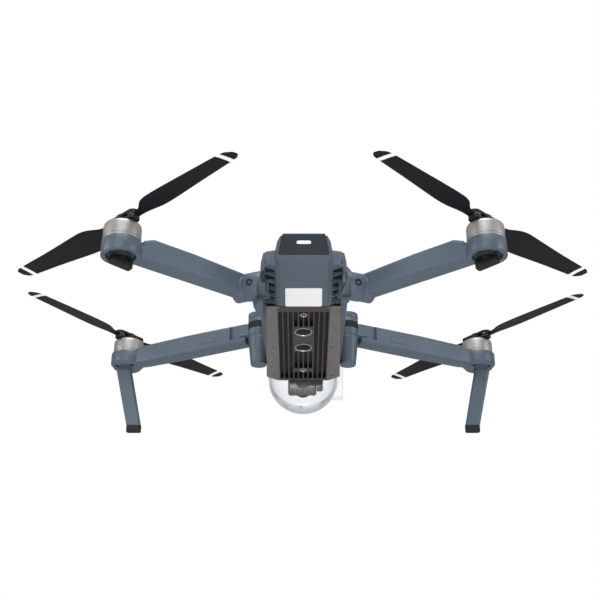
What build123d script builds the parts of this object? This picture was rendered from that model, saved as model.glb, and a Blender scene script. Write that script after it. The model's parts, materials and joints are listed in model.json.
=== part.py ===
"""Folding camera quadcopter with four swing-out arms, folding propellers and a clear gimbal cover.

It is drawn in its flight attitude: X to the right, Y towards the nose, Z along the rotor shafts, zero
3 mm below the soles of the rear feet. stand() then tips it back on to its four feet, nose up, and puts the
origin on the ground under the middle of its bounding box. Only the right-hand pieces are drawn; the
left-hand ones are mirrored, apart from the propeller blades, which are parked at their own angles.
"""

from build123d import *
import os
from math import atan2, cos, degrees, hypot, radians, sin

os.makedirs("parts", exist_ok=True)

# ---- driving dimensions, in mm ---------------------------------------------------------------
PROP_R = 105.4  # an 8.3 inch propeller
REAR_MOTOR = (110.0, -112.5)  # rotor axes; the diagonals are 335 mm
FRONT_MOTOR = (138.5, 112.5)
REAR_SEAM_Z = 15.5  # where the motor bell meets its mount
FRONT_SEAM_Z = 34.0
REAR_MOUNT_R = 12.2
FRONT_MOUNT_R = 13.0
REAR_MOUNT_Z = 6.0  # underside of the rear motor mount
FRONT_MOUNT_Z = 23.0

BELL_R = 11.6
BELL_H = 12.0
BELL_WALL = 1.1
SHAFT_R = 1.5
RUNNING = 0.05  # radial clearance of a shaft in its hole
GAP = 0.3  # air between pieces that move past each other

HUB_PIN_X = 10.0  # blade pins, each side of the rotor axis
HUB_PLATE_H = 1.5
BLADE_LUG_H = 2.3
BLADE_LUG_R = 3.9
BLADE_PIN_R = 1.2
HUB_TOTAL_H = 2 * HUB_PLATE_H + BLADE_LUG_H + 2 * 0.15

FRONT_HINGE = (33.0, 60.0)  # upright pin of the front arm
FRONT_KNUCKLE_R = 8.2
FRONT_KNUCKLE_Z = (27.4, 41.0)
HINGE_PIN_R = 2.0
REAR_HINGE = (36.5, -58.0, 11.5)  # face of the rear shoulder, on the hinge axis
REAR_KNUCKLE_R = 8.8
REAR_KNUCKLE_L = 8.0
STOWED_REAR_DEG = 87.0  # heading of the stowed rear arm, measured from +X

FOOT_FRONT = (130.4, 115.0, -28.0)  # middle of the front sole
FOOT_REAR = (-110.0, 3.0)  # y, z of the rear soles
BELLY_SLOPE = 3.03  # the heat sink drops towards the nose
BELLY_START = (-38.0, 7.6)  # y, z of its rear edge
SINK_H = 4.0
DOME_CENTRE = (0.0, 92.0, 6.0)
DOME_R = 26.4
DOME_WALL = 1.2
DOME_BACK_Y = 82.2
NOSE_FLOOR_Z = 16.3
GIMBAL_YAW_Y = 91.0
GIMBAL_ROLL_Z = 4.0
CAMERA_Y = 99.0
FAN_Y = -57.0
SINK_SENSORS = [(12.3, 2.6), (37.9, 6.2), (62.5, 6.2), (100.9, 2.6)]  # y along the sink, radius
SINK_SCREWS = [(s * x, y) for s in (-1, 1) for x, y in ((16.6, 3.0), (20.6, 61.7), (22.4, 109.9))]

# headings of the parked blades, from +X, in degrees
BLADE_HEADINGS = {  # inner blade, outer blade
    "rear_left": (-47.0, 138.5),
    "rear_right": (-132.0, 42.5),
    "front_left": (49.5, -125.0),
    "front_right": (124.5, -51.5),
}
HUB_HEADINGS = {"rear_left": 134.7, "rear_right": 45.3, "front_left": -127.4, "front_right": -52.6}

STANCE_DEG = degrees(atan2(FOOT_REAR[1] - FOOT_FRONT[2], FOOT_FRONT[1] - FOOT_REAR[0]))
BOX_MIDDLE = (0.0, -1.5)  # middle of the bounding box in plan, once it stands

front_reach = hypot(FRONT_MOTOR[0] - FRONT_HINGE[0], FRONT_MOTOR[1] - FRONT_HINGE[1])
front_dir = Vector(FRONT_MOTOR[0] - FRONT_HINGE[0], FRONT_MOTOR[1] - FRONT_HINGE[1], 0).normalized()
hinge_to_rear = Vector(REAR_MOTOR[0] - REAR_HINGE[0], REAR_MOTOR[1] - REAR_HINGE[1], 0)


def rear_axis_and_reach():
    """The rear hinge axis halves the angle between the arm in flight and the stowed arm."""
    stowed = Vector(cos(radians(STOWED_REAR_DEG)), sin(radians(STOWED_REAR_DEG)), 0)
    axis = Vector(1, 0, 0)
    for _ in range(20):
        root = axis * (REAR_KNUCKLE_L / 2)
        axis = ((hinge_to_rear - root).normalized() + stowed).normalized()
    reach = (hinge_to_rear - axis * (REAR_KNUCKLE_L / 2)).length
    return axis, reach


rear_axis, rear_reach = rear_axis_and_reach()
rear_root = Vector(*REAR_HINGE) + rear_axis * (REAR_KNUCKLE_L / 2)
rear_dir = (Vector(*REAR_MOTOR, REAR_HINGE[2]) - rear_root).normalized()


def belly_z(y):
    """Height of the heat sink's underside."""
    return BELLY_START[1] - (y - BELLY_START[0]) * sin(radians(BELLY_SLOPE)) / cos(radians(BELLY_SLOPE))


ground = Plane(
    origin=(0, *FOOT_REAR),
    x_dir=(1, 0, 0),
    z_dir=(0, sin(radians(STANCE_DEG)), cos(radians(STANCE_DEG))),
)
belly = Plane(
    origin=(0, *BELLY_START),
    x_dir=(1, 0, 0),
    z_dir=(0, sin(radians(BELLY_SLOPE)), cos(radians(BELLY_SLOPE))),
)

label_plane = Plane(origin=(0, -47.3, 9.94), x_dir=(1, 0, 0), z_dir=(0, -0.2467, -1))
roll_plane = Plane(origin=(0, CAMERA_Y, GIMBAL_ROLL_Z), z_dir=(0, 1, 0))
pitch_plane = Plane(origin=(0, CAMERA_Y, GIMBAL_ROLL_Z), z_dir=(1, 0, 0))
dome_plane = Plane(origin=(0, DOME_BACK_Y, DOME_CENTRE[2]), z_dir=(0, 1, 0))


def stand(shape):
    """Tips a piece from the flight attitude on to the ground and centres it."""
    tipped = shape.rotate(Axis((0, *FOOT_REAR), (1, 0, 0)), STANCE_DEG)
    return tipped.moved(Location((-BOX_MIDDLE[0], -BOX_MIDDLE[1], -FOOT_REAR[1])))


def save(shape, name):
    """Labels a finished piece and writes it standing on its feet."""
    piece = stand(shape)
    piece.label = name
    export_step(piece, f"parts/{name}.step")


def save_pair(shape, name):
    """Writes a right-hand piece and its mirror image; name holds {} where the side goes."""
    save(shape, name.format("right"))
    save(mirror(shape, about=Plane.YZ), name.format("left"))


# ---- hulls -----------------------------------------------------------------------------------
# Each station is y and the right half of the section, from the keel flat up to the rim.
LOWER_STATIONS = [
    (-102.0, [(12.6, 24.6), (13.2, 25.6), (13.4, 28.4)]),
    (-90.0, [(15.4, 20.5), (16.6, 21.6), (16.8, 28.4)]),
    (-78.2, [(15.7, 17.6), (18.0, 18.6), (18.2, 28.4)]),
    (-76.8, [(16.0, 17.2), (22.4, 19.4), (23.4, 28.4)]),
    (-74.0, [(16.1, 16.6), (25.0, 19.4), (26.0, 28.4)]),
    (-62.0, [(16.2, 13.6), (26.6, 17.4), (27.8, 28.4)]),
    (-45.0, [(16.6, 9.4), (27.6, 14.2), (29.0, 28.4)]),
    (-38.2, [(16.8, 7.8), (28.0, 13.4), (29.0, 24.0)]),
]
SHOULDER_FAIRING = [(24.5, -70), (29.5, -69), (34.0, -58), (31.6, -46), (29.5, -38), (24.5, -38)]
MAIN_STATIONS = [
    (-45.0, [(23.5, 9.4), (27.8, 13.6), (29.8, 21.4), (28.2, 24.0)]),
    (-20.0, [(24.6, 10.2), (28.4, 13.2), (30.2, 21.4), (28.0, 24.0)]),
    (40.0, [(25.2, 7.0), (28.2, 11.0), (29.6, 21.4), (27.8, 24.0)]),
    (80.4, [(26.2, 4.8), (27.2, 9.0), (28.2, 21.4), (27.4, 24.0)]),
]
UPPER_STATIONS = [
    (-44.5, [(28.0, 24.0), (27.0, 36.0), (23.0, 40.5), (17.0, 41.5)]),
    (-20.0, [(28.0, 24.0), (27.2, 38.0), (23.6, 44.0), (16.0, 45.3)]),
    (60.0, [(27.4, 24.0), (26.6, 38.0), (23.6, 43.4), (15.0, 45.3)]),
    (86.0, [(27.0, 24.0), (25.6, 36.0), (22.0, 41.0), (14.0, 43.0)]),
    (101.5, [(24.0, 24.0), (22.0, 31.6), (18.5, 35.0), (12.0, 36.4)]),
]


def section(y, half, inset=0.0):
    """A closed hull section across the body; inset moves its flanks and keel inwards."""
    points = [(x - inset, z + (inset if i == 0 else inset * 0.4)) for i, (x, z) in enumerate(half)]
    with BuildSketch(Plane(origin=(0, y, 0), x_dir=(1, 0, 0), z_dir=(0, -1, 0))) as sk:
        Polygon(*points, *[(-x, z) for x, z in reversed(points)], align=None)
    return sk.sketch


def box(x, y, z, mode=Mode.ADD):
    """A block given by its low and high x, y and z; for use inside a part block."""
    with BuildSketch(Plane.XY.offset(z[0])) as sk:
        Polygon((x[0], y[0]), (x[1], y[0]), (x[1], y[1]), (x[0], y[1]), align=None)
    extrude(sk.sketch, amount=z[1] - z[0], mode=mode)


def disc(plane, radius, height, mode=Mode.ADD, at=(0, 0), hole=0.0):
    """A cylinder or a ring standing on a plane; for use inside a part block."""
    with BuildSketch(plane) as sk:
        with Locations(at):
            Circle(radius)
            if hole:
                Circle(hole, mode=Mode.SUBTRACT)
    extrude(sk.sketch, amount=height, mode=mode)


shoulder_faces = [
    Plane(origin=(s * REAR_HINGE[0], REAR_HINGE[1], REAR_HINGE[2]), x_dir=(0, 0, 1),
          z_dir=(s * rear_axis.X, rear_axis.Y, 0))
    for s in (1, -1)
]
front_pins = [(s * FRONT_HINGE[0], FRONT_HINGE[1]) for s in (1, -1)]
tail_plane = Plane(origin=(0, -87.0, 20.0), x_dir=(1, 0, 0), z_dir=(0, -8.5, -13.0))
VENT_SLOTS = [-72.6 + 6.8 * i for i in range(5)]

with BuildPart() as lower_hull:
    loft(sections=[section(y, half) for y, half in LOWER_STATIONS], ruled=True)
    loft(sections=[section(y, half) for y, half in MAIN_STATIONS], ruled=True)
    # rear shoulders, which carry the rear arm hinges
    for plane in shoulder_faces:
        disc(plane.offset(-GAP), REAR_KNUCKLE_R + 0.4, -13.0)
    for s in (1, -1):
        with BuildSketch(Plane.XY.offset(10.0)):
            Polygon(*[(s * x, y) for x, y in SHOULDER_FAIRING], align=None)
        extrude(amount=12.0, taper=8)
    # front hinge housings under the arm knuckles
    for pin in front_pins:
        with BuildSketch(Plane.XY.offset(FRONT_KNUCKLE_Z[0] - GAP)):
            with Locations(pin):
                Circle(FRONT_KNUCKLE_R)
        extrude(amount=-22.0, taper=6)
    # the upper shell sits on this ledge
    box((-40.0, 40.0), (-44.7, -30.0), (24.0, 40.0), mode=Mode.SUBTRACT)
    # hollow for the battery, the boards and the fan
    box((-21.3, 21.3), (-74.0, -37.0), (24.0, 30.0), mode=Mode.SUBTRACT)
    box((-14.0, 14.0), (-78.0, -44.0), (18.8, 25.0), mode=Mode.SUBTRACT)
    box((-22.0, 22.0), (-43.0, 44.0), (13.2, 25.0), mode=Mode.SUBTRACT)
    # seat of the heat sink
    with BuildSketch(belly) as sink_seat:
        Polygon((-24.7, -0.3), (24.7, -0.3), (27.7, 113.0), (19.2, 120.0), (-19.2, 120.0),
                (-27.7, 113.0), align=None)
    extrude(amount=SINK_H + 0.02, mode=Mode.SUBTRACT)
    extrude(sink_seat.sketch, amount=-9, mode=Mode.SUBTRACT)
    # cut the boat tail
    with BuildSketch(tail_plane.offset(-1.2)):
        Rectangle(60, 60)
    extrude(amount=25, mode=Mode.SUBTRACT)
    # vents in the flanks beside the tail keel
    for s in (1, -1):
        for y in VENT_SLOTS:
            box(sorted((s * 18.8, s * 24.6)), (y, y + 5.9), (8.0, 23.0), mode=Mode.SUBTRACT)
    # pin holes
    for pin in front_pins:
        disc(Plane.XY.offset(FRONT_KNUCKLE_Z[0]), HINGE_PIN_R, -9.0, Mode.SUBTRACT, pin)
    for plane in shoulder_faces:
        disc(plane, HINGE_PIN_R, -8.0, Mode.SUBTRACT)
    # the nose end stops at the gimbal bay
    box((-40, 40), (DOME_BACK_Y - 1.7, 110), (-20, 40), mode=Mode.SUBTRACT)

with BuildPart() as upper_shell:
    loft(sections=[section(y, half) for y, half in UPPER_STATIONS], ruled=True)
    # hinge brackets over the front arm knuckles
    for pin in front_pins:
        disc(Plane.XY.offset(FRONT_KNUCKLE_Z[1] + GAP), FRONT_KNUCKLE_R, 4.0, at=pin)
        box(sorted((pin[0], pin[0] * 0.4)), (pin[1] - FRONT_KNUCKLE_R, pin[1] + FRONT_KNUCKLE_R),
            (FRONT_KNUCKLE_Z[1] + GAP, FRONT_KNUCKLE_Z[1] + GAP + 4.0))
    # chin around the gimbal bay
    box((-24.0, 24.0), (80.7, 101.5), (NOSE_FLOOR_Z + GAP, 24.5))
    box((-19.0, 19.0), (80.0, 100.1), (NOSE_FLOOR_Z, 24.0), mode=Mode.SUBTRACT)
    # battery bay and the room for the boards in front of it
    box((-21.3, 21.3), (-50, 20.3), (23, 50), mode=Mode.SUBTRACT)
    box((-20.0, 20.0), (22.0, 78.0), (23, 40.0), mode=Mode.SUBTRACT)
    # finger notches over the battery's release latches
    for s in (1, -1):
        box(sorted((s * 20.0, s * 30.0)), (-24.4, -3.6), (29.8, 50.0), mode=Mode.SUBTRACT)
    # room for the knuckles
    for pin in front_pins:
        disc(Plane.XY.offset(FRONT_KNUCKLE_Z[0] - 6), FRONT_KNUCKLE_R + 0.4,
             FRONT_KNUCKLE_Z[1] + GAP - FRONT_KNUCKLE_Z[0] + 6, Mode.SUBTRACT, pin)
        disc(Plane.XY.offset(FRONT_KNUCKLE_Z[1]), HINGE_PIN_R, 3.0, Mode.SUBTRACT, pin)
    # gimbal bay under the nose, with the yaw motor's pocket
    disc(Plane.XY.offset(20), 9.2, 12, Mode.SUBTRACT, (0, GIMBAL_YAW_Y))
    # windows of the two forward cameras
    for s in (1, -1):
        disc(Plane(origin=(s * 12.0, 101.5, 29.0), z_dir=(0, 1, 0)), 4.0, -4.0, Mode.SUBTRACT)

with BuildPart() as tail_panel:
    with BuildSketch(tail_plane.offset(-1.2)):
        Polygon((-16.0, 0.3), (16.0, 0.3), (13.2, 15.3), (-13.2, 15.3), align=None)
    extrude(amount=1.2)

with BuildPart() as heat_sink:
    with BuildSketch(belly):
        Polygon((-24.4, 0.0), (24.4, 0.0), (27.4, 112.7), (19.0, 119.6), (-19.0, 119.6),
                (-27.4, 112.7), align=None)
    extrude(amount=SINK_H)
    # slots between the cooling fins
    with BuildSketch(belly):
        for i in range(10):
            x = -15.75 + 3.5 * i
            for y0, y1 in (((8.0, 116.0),) if abs(x) > 7 else ((8.0, 30.0), (70.0, 98.0), (104.0, 116.0))):
                Polygon((x - 1.25, y0), (x + 1.25, y0), (x + 1.25, y1), (x - 1.25, y1), align=None)
    extrude(amount=2.8, mode=Mode.SUBTRACT)
    # wells of the downward sensors
    for y, radius in SINK_SENSORS:
        disc(belly, radius, 3.2, Mode.SUBTRACT, (0, y))
    for x, y in SINK_SCREWS:
        disc(belly, 1.3, 1.4, Mode.SUBTRACT, (x, y))

with BuildPart() as belly_label:
    with BuildSketch(label_plane):
        RectangleRounded(24.0, 18.6, 1.2)
    extrude(amount=0.25)

with BuildPart() as sonar_sensors:
    for y, radius in SINK_SENSORS[1:3]:
        disc(belly.offset(0.3), radius - 0.05, 2.8, at=(0, y), hole=radius - 1.3)
        disc(belly.offset(0.9), radius - 1.25, 2.2, at=(0, y))

with BuildPart() as belly_cameras:
    for y, radius in (SINK_SENSORS[0], SINK_SENSORS[3]):
        disc(belly.offset(0.2), radius - 0.05, 2.9, at=(0, y))

with BuildPart() as belly_screws:
    for x, y in SINK_SCREWS:
        disc(belly.offset(0.4), 1.25, 0.95, at=(x, y))

with BuildPart() as forward_cameras:
    for s in (1, -1):
        disc(Plane(origin=(s * 12.0, 98.0, 29.0), z_dir=(0, 1, 0)), 3.9, 2.6)

with BuildPart() as vent_grilles:
    for s in (1, -1):
        for y in VENT_SLOTS:
            low = 13.4 + 0.2467 * (-43.0 - y)
            box(sorted((s * 18.9, s * 24.5)), (y + 0.1, y + 5.8), (low, low + 1.4))

with BuildPart() as main_board:
    box((-18.0, 18.0), (-40.0, 40.0), (13.6, 15.2))
    for y in (-24.0, 4.0):
        box((-9.0, 9.0), (y, y + 16.0), (15.2, 17.0))

with BuildPart() as nose_board:
    box((-15.0, 15.0), (30.0, 76.0), (26.0, 27.6))
    box((-8.0, 8.0), (40.0, 56.0), (27.6, 30.0))

with BuildPart() as fan_frame:
    disc(Plane.XY.offset(18.9), 12.4, 4.8, at=(0, FAN_Y), hole=11.2)
    disc(Plane.XY.offset(18.9), 1.0, 4.0, at=(0, FAN_Y))
    for turn in (45, 135):
        with BuildSketch(Plane.XY.offset(18.9)):
            with Locations((0, FAN_Y)):
                Rectangle(23.6, 1.6, rotation=turn)
        extrude(amount=0.7)

with BuildPart() as fan_rotor:
    disc(Plane.XY.offset(20.0), 4.0, 3.4, at=(0, FAN_Y), hole=1.0 + RUNNING)
    for i in range(7):
        turn = 360 / 7 * i
        blade = Plane(origin=(6.9 * cos(radians(turn)), FAN_Y + 6.9 * sin(radians(turn)), 21.7),
                      x_dir=(cos(radians(turn)), sin(radians(turn)), 0), z_dir=(0, 0, 1))
        with BuildSketch(blade.rotated((30, 0, 0)).offset(-0.3)):
            Rectangle(6.4, 4.2)
        extrude(amount=0.6)

with BuildPart() as front_hinge_pins:
    for pin in front_pins:
        disc(Plane.XY.offset(FRONT_KNUCKLE_Z[0] - 7), HINGE_PIN_R - 0.02,
             FRONT_KNUCKLE_Z[1] - FRONT_KNUCKLE_Z[0] + 9.8, at=pin)

with BuildPart() as rear_hinge_pins:
    for plane in shoulder_faces:
        disc(plane.offset(-7.5), HINGE_PIN_R - 0.02, 7.5 + REAR_KNUCKLE_L - 2.0)

with BuildPart() as damper_plate:
    box((-17.0, 17.0), (80.9, 96.4), (21.4, 22.6))
    disc(Plane.XY.offset(21.0), 7.6, 3, Mode.SUBTRACT, (0, GIMBAL_YAW_Y))
    for x in (-14.5, 14.5):
        for y in (83.2, 94.0):
            disc(Plane.XY.offset(22.6), 1.8, 1.38, at=(x, y))

with BuildPart() as yaw_motor:
    disc(Plane.XY.offset(19.4), 7.55, 9.0, at=(0, GIMBAL_YAW_Y))

# ---- gimbal ----------------------------------------------------------------------------------
with BuildPart() as yaw_arm:
    disc(Plane.XY.offset(16.9), 6.8, 2.2, at=(0, GIMBAL_YAW_Y))
    box((-3.4, 3.4), (85.4, 88.4), (GIMBAL_ROLL_Z, 19.1))
    disc(roll_plane.offset(-13.6), 5.6, 3.0)

with BuildPart() as roll_arm:
    disc(roll_plane.offset(-10.3), 5.6, 1.9)
    box((0.0, 14.6), (88.7, 90.6), (GIMBAL_ROLL_Z - 3.6, GIMBAL_ROLL_Z + 3.6))
    box((12.6, 14.6), (88.7, CAMERA_Y), (GIMBAL_ROLL_Z - 3.6, GIMBAL_ROLL_Z + 3.6))
    disc(pitch_plane.offset(10.5), 4.8, 4.1)

with BuildPart() as camera_body:
    disc(pitch_plane.offset(-11.5), 8.0, 21.7)
    fillet(camera_body.edges().filter_by(GeomType.CIRCLE), 1.8)
    disc(roll_plane, 6.4, 9.2)

with BuildPart() as camera_lens:
    disc(roll_plane.offset(9.2), 5.4, 1.2)

with BuildPart() as gimbal_cover:
    # squared lug on the right flank
    box((16.0, 30.0), (83.0, 92.0), (-11.0, NOSE_FLOOR_Z))
    # a dome in front of a short sleeve, hollow and open at the back and the top
    for radius, mode in ((DOME_R, Mode.ADD), (DOME_R - DOME_WALL, Mode.SUBTRACT)):
        with BuildSketch(dome_plane):
            Circle(radius)
        extrude(amount=DOME_CENTRE[1] - DOME_BACK_Y, mode=mode)
        with BuildSketch(Plane.YZ):
            with BuildLine():
                front = CenterArc(DOME_CENTRE[1:], radius, 0, 90)
                Polyline(front @ 1, DOME_CENTRE[1:], front @ 0)
            make_face()
        revolve(axis=Axis(DOME_CENTRE, (0, 1, 0)), mode=mode)
    box((-40, 40), (60, 140), (NOSE_FLOOR_Z, 60), mode=Mode.SUBTRACT)

# ---- battery ---------------------------------------------------------------------------------
with BuildPart() as battery:
    loft(sections=[section(y, half) for y, half in (
        (20.0, [(20.9, 24.3), (20.9, 42.0), (18.0, 46.0)]),
        (-30.0, [(20.9, 24.3), (20.9, 42.0), (18.0, 45.6)]),
        (-44.6, [(20.9, 24.3), (20.9, 26.4), (18.0, 28.3)]),
        (-73.7, [(20.9, 24.3), (20.9, 26.4), (18.0, 28.3)]),
    )], ruled=True)
    # pockets of the two release latches and the power button
    for s in (1, -1):
        box(sorted((s * 15.4, s * 22.0)), (-24.0, -4.0), (30.0, 40.0), mode=Mode.SUBTRACT)
    disc(Plane.XY.offset(43.0), 5.0, 6.0, Mode.SUBTRACT, (0, 2.0))

with BuildPart() as battery_latch:
    box((17.8, 26.6), (-23.7, -4.3), (30.3, 37.7))

with BuildPart() as power_button:
    disc(Plane.XY.offset(44.0), 4.7, 2.0, at=(0, 2.0))

# ---- front arm -------------------------------------------------------------------------------
front_origin = Vector(*FRONT_HINGE, 0)


def along_front(s, z):
    """Plane across the front arm at distance s from its hinge, facing the motor."""
    return Plane(origin=front_origin + front_dir * s + Vector(0, 0, z),
                 x_dir=front_dir.cross(Vector(0, 0, 1)), z_dir=front_dir)


def beam(stations, plane_at):
    """Lofts rounded rectangles: each station is distance, width, low z and high z."""
    sections = []
    for s, width, low, high in stations:
        with BuildSketch(plane_at(s, (low + high) / 2)) as sk:
            RectangleRounded(width, high - low, min(width, high - low) * 0.22)
        sections.append(sk.sketch)
    loft(sections=sections, ruled=True)


with BuildPart() as front_arm:
    beam([(9.0, 12.0, 22.6, 38.6), (60.0, 12.6, 22.4, 38.6), (100.0, 12.0, 22.6, 37.8),
          (112.0, 11.6, 23.6, 33.6)], along_front)
    # room around the hinge housing and the bracket, then the knuckle between them
    disc(Plane.XY, FRONT_KNUCKLE_R + 0.5, 60, Mode.SUBTRACT, FRONT_HINGE)
    # slimmer neck, set back from the rear face
    with BuildSketch(along_front(5.0, 35.0)):
        with Locations((6.8, 0)):
            Rectangle(6.0, 16.0)
    extrude(amount=17.0, mode=Mode.SUBTRACT)
    disc(Plane.XY.offset(FRONT_KNUCKLE_Z[0]), FRONT_KNUCKLE_R, FRONT_KNUCKLE_Z[1] - FRONT_KNUCKLE_Z[0],
         at=FRONT_HINGE)
    beam([(2.0, 10.6, FRONT_KNUCKLE_Z[0], 38.4), (14.0, 10.6, FRONT_KNUCKLE_Z[0], 38.4)], along_front)
    disc(Plane.XY, HINGE_PIN_R + RUNNING, 60, Mode.SUBTRACT, FRONT_HINGE)
    # motor mount with a chamfered lower shoulder
    disc(Plane.XY.offset(FRONT_MOUNT_Z + 3), FRONT_MOUNT_R, FRONT_SEAM_Z - FRONT_MOUNT_Z - 3, at=FRONT_MOTOR)
    with BuildSketch(Plane.XY.offset(FRONT_MOUNT_Z + 3)):
        with Locations(FRONT_MOTOR):
            Circle(FRONT_MOUNT_R)
    extrude(amount=-3, taper=40)
    disc(Plane.XY.offset(FRONT_SEAM_Z), FRONT_MOUNT_R + 2, 8, Mode.SUBTRACT, FRONT_MOTOR)
    # cup for the stator and its bearing
    disc(Plane.XY.offset(FRONT_SEAM_Z - 2.0), 10.2, 3, Mode.SUBTRACT, FRONT_MOTOR)
    # socket of the arm light
    disc(along_front(front_reach + 10.5, 29.5), 2.6, 5, Mode.SUBTRACT)
    # screw holes under the mount
    for x, y in ((7.4, -6.0), (-4.5, -7.5)):
        disc(Plane.XY.offset(FRONT_MOUNT_Z), 1.0, 1.2, Mode.SUBTRACT, (FRONT_MOTOR[0] + x, FRONT_MOTOR[1] + y))

with BuildPart() as front_light:
    disc(along_front(front_reach + 10.55, 29.5), 2.55, 2.7)

with BuildPart() as front_leg:
    with BuildSketch(Plane.XY.offset(FRONT_MOUNT_Z - 0.02)) as leg_top:
        with Locations((FRONT_MOTOR[0] + 2.8, FRONT_MOTOR[1] + 1.2)):
            RectangleRounded(12.0, 6.0, 2.4)
    with BuildSketch(Plane.XY.offset(FOOT_FRONT[2] + 4.5)) as leg_low:
        with Locations((FOOT_FRONT[0] + 0.5, FOOT_FRONT[1])):
            RectangleRounded(11.2, 4.6, 1.8)
    loft(sections=[leg_top.sketch, leg_low.sketch], ruled=True)

with BuildPart() as front_foot:
    disc_low = FOOT_FRONT[2] - 2.0
    with BuildSketch(Plane.XY.offset(disc_low)):
        with Locations((FOOT_FRONT[0] + 0.4, FOOT_FRONT[1])):
            RectangleRounded(11.4, 5.4, 2.2)
    extrude(amount=FOOT_FRONT[2] + 4.5 - disc_low)
    with BuildSketch(ground):
        with Locations((130, 225)):
            Rectangle(60, 60)
    extrude(amount=-10, mode=Mode.SUBTRACT)

# ---- rear arm --------------------------------------------------------------------------------
def along_rear(s, z):
    """Plane across the rear arm at distance s from the hinge line, facing the motor."""
    return Plane(origin=Vector(rear_root.X, rear_root.Y, z) + rear_dir * s,
                 x_dir=rear_dir.cross(Vector(0, 0, 1)), z_dir=rear_dir)


with BuildPart() as rear_arm:
    beam([(1.0, 12.6, 5.8, 20.2), (40.0, 12.8, 6.0, 22.0), (70.0, 12.4, 6.0, 22.4),
          (86.0, 12.0, 6.4, 15.4)], along_rear)
    # trim the root back to the face of the shoulder
    disc(shoulder_faces[0], 40, -30, Mode.SUBTRACT)
    disc(shoulder_faces[0], REAR_KNUCKLE_R, REAR_KNUCKLE_L)
    disc(shoulder_faces[0], HINGE_PIN_R + RUNNING, REAR_KNUCKLE_L - 1.6, Mode.SUBTRACT)
    # motor mount
    disc(Plane.XY.offset(REAR_MOUNT_Z), REAR_MOUNT_R, REAR_SEAM_Z - REAR_MOUNT_Z, at=REAR_MOTOR)
    disc(Plane.XY.offset(REAR_SEAM_Z), REAR_MOUNT_R + 1.5, 12, Mode.SUBTRACT, REAR_MOTOR)
    disc(Plane.XY.offset(REAR_SEAM_Z - 2.0), 10.2, 3, Mode.SUBTRACT, REAR_MOTOR)
    # dished underside
    disc(Plane.XY.offset(REAR_MOUNT_Z), 9.4, 1.6, Mode.SUBTRACT, REAR_MOTOR)

foot_centre = Vector(*REAR_MOTOR, 0) - rear_dir * 0.5 + Vector(1.0, 4.4, 0)
with BuildPart() as rear_foot:
    with BuildSketch(Plane(origin=(foot_centre.X, foot_centre.Y, REAR_MOUNT_Z), x_dir=rear_dir,
                           z_dir=(0, 0, 1))):
        RectangleRounded(15.0, 5.6, 1.6)
    extrude(amount=-8.0)
    # plug in the dished underside
    disc(Plane.XY.offset(REAR_MOUNT_Z - 0.1), 3.2, 1.6, at=(foot_centre.X - 1.0, foot_centre.Y - 1.4))
    with BuildSketch(ground):
        with Locations((110, 0)):
            Rectangle(60, 60)
    extrude(amount=-10, mode=Mode.SUBTRACT)


# ---- motors ----------------------------------------------------------------------------------
def make_stator(centre, seam):
    """The wound stator with its fixed spindle, sunk in the motor mount."""
    with BuildPart() as stator:
        disc(Plane.XY.offset(seam - 2.0), 8.6, 9.0, at=centre, hole=SHAFT_R + 1.2)
        with BuildSketch(Plane.XY.offset(seam)):
            with Locations(centre):
                with PolarLocations(7.6, 9):
                    Rectangle(2.6, 1.5)
        extrude(amount=8.0, mode=Mode.SUBTRACT)
        disc(Plane.XY.offset(seam - 2.0), SHAFT_R + 1.2, 1.6, at=centre)
    return stator.part


def make_bell(centre, seam):
    """The turning bell with its shaft."""
    with BuildPart() as bell:
        disc(Plane.XY.offset(seam + GAP), BELL_R, BELL_H - GAP, at=centre)
        top = bell.faces().sort_by(Axis.Z)[-1]
        fillet(top.edges(), 2.0)
        disc(Plane.XY.offset(seam + GAP), BELL_R - BELL_WALL, BELL_H - 2.5 - GAP, Mode.SUBTRACT, centre)
        with BuildSketch(Plane.XY.offset(seam + BELL_H - 3)):
            with Locations(centre):
                with PolarLocations(6.6, 6):
                    SlotOverall(4.6, 2.0, rotation=90)
        extrude(amount=4, mode=Mode.SUBTRACT)
        disc(Plane.XY.offset(seam + 0.2), SHAFT_R, BELL_H - 1.0, at=centre)
    return bell.part


def hub_plane(centre, seam, heading):
    """Top of the bell, with local x along the propeller's pins."""
    return Plane(origin=(*centre, seam + BELL_H), x_dir=(cos(radians(heading)), sin(radians(heading)), 0),
                 z_dir=(0, 0, 1))


def make_hub(centre, seam, heading):
    """The quick-release hub: two plates with a pin through each end."""
    top = hub_plane(centre, seam, heading)
    with BuildPart() as hub:
        for low in (0.0, HUB_TOTAL_H - HUB_PLATE_H):
            with BuildSketch(top.offset(low)):
                SlotOverall(2 * HUB_PIN_X + 2 * BLADE_LUG_R, 2 * BLADE_LUG_R)
            extrude(amount=HUB_PLATE_H)
        disc(top, 4.4, HUB_TOTAL_H)
        disc(top.offset(HUB_TOTAL_H), 3.4, 0.8)
        for s in (1, -1):
            disc(top, BLADE_PIN_R, HUB_TOTAL_H, at=(s * HUB_PIN_X, 0))
    return hub.part


BLADE_STATIONS = [  # distance from the pin, leading edge, trailing edge, pitch in degrees
    (7.0, 3.0, -3.0, 6.0),
    (14.0, 5.2, -5.6, 13.0),
    (24.0, 7.2, -11.4, 14.0),
    (42.0, 6.2, -10.8, 11.5),
    (66.0, 4.6, -8.6, 9.0),
    (86.0, 3.4, -6.4, 7.0),
    (PROP_R - HUB_PIN_X, 0.6, -3.6, 6.0),
]


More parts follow.
